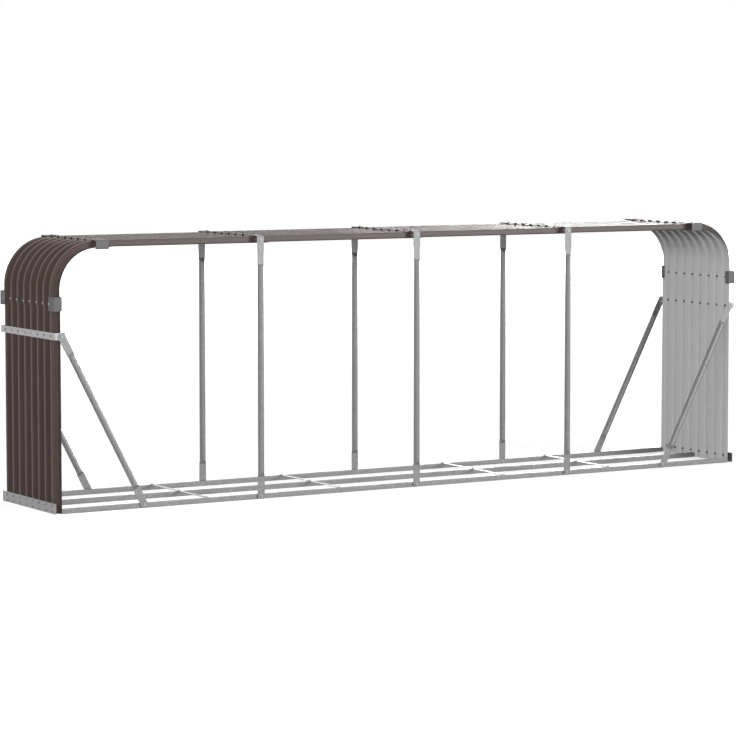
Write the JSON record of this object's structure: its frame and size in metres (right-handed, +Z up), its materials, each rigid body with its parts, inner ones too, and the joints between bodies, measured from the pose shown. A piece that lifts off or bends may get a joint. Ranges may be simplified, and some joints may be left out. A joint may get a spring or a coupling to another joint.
{
  "type": "log store",
  "caption": "Long open log store: a ribbed sheet roof that curves down into the end walls, with tube posts, diagonal braces and a base of rails.",
  "frame": {"origin": "on the ground, at the centre of the store's plan", "axes": "+X along the store, +Y from the front to the rear, +Z up"},
  "size_m": [4.767, 0.757, 1.5337],
  "materials": {
    "brown_coating": "satin",
    "galvanised_steel": "matte"
  },
  "bodies": {
    "root": {"left_end_panel": "brown_coating", "right_end_panel": "brown_coating", "left_corner_sheet": "brown_coating", "right_corner_sheet": "brown_coating", "roof_sheet_1": "brown_coating", "roof_sheet_2": "brown_coating", "roof_sheet_3": "brown_coating", "roof_sheet_4": "brown_coating", "front_rail_1": "galvanised_steel", "front_rail_2": "galvanised_steel", "front_rail_3": "galvanised_steel", "front_rail_4": "galvanised_steel", "middle_rail_1": "galvanised_steel", "middle_rail_2": "galvanised_steel", "middle_rail_3": "galvanised_steel", "middle_rail_4": "galvanised_steel", "rear_rail_1": "galvanised_steel", "rear_rail_2": "galvanised_steel", "rear_rail_3": "galvanised_steel", "rear_rail_4": "galvanised_steel", "cross_strap_1": "galvanised_steel", "cross_strap_2": "galvanised_steel", "cross_strap_3": "galvanised_steel", "cross_strap_4": "galvanised_steel", "left_base_plate": "galvanised_steel", "right_base_plate": "galvanised_steel", "left_end_band": "galvanised_steel", "right_end_band": "galvanised_steel", "front_post_1": "galvanised_steel", "front_post_2": "galvanised_steel", "front_post_3": "galvanised_steel", "rear_post_1": "galvanised_steel", "rear_post_2": "galvanised_steel", "rear_post_3": "galvanised_steel", "front_left_brace": "galvanised_steel", "front_right_brace": "galvanised_steel", "rear_left_brace": "galvanised_steel", "rear_right_brace": "galvanised_steel", "front_left_clips": "galvanised_steel", "front_right_clips": "galvanised_steel", "rear_left_clips": "galvanised_steel", "rear_right_clips": "galvanised_steel", "foot_spacers": "galvanised_steel"}
  },
  "joints": []
}
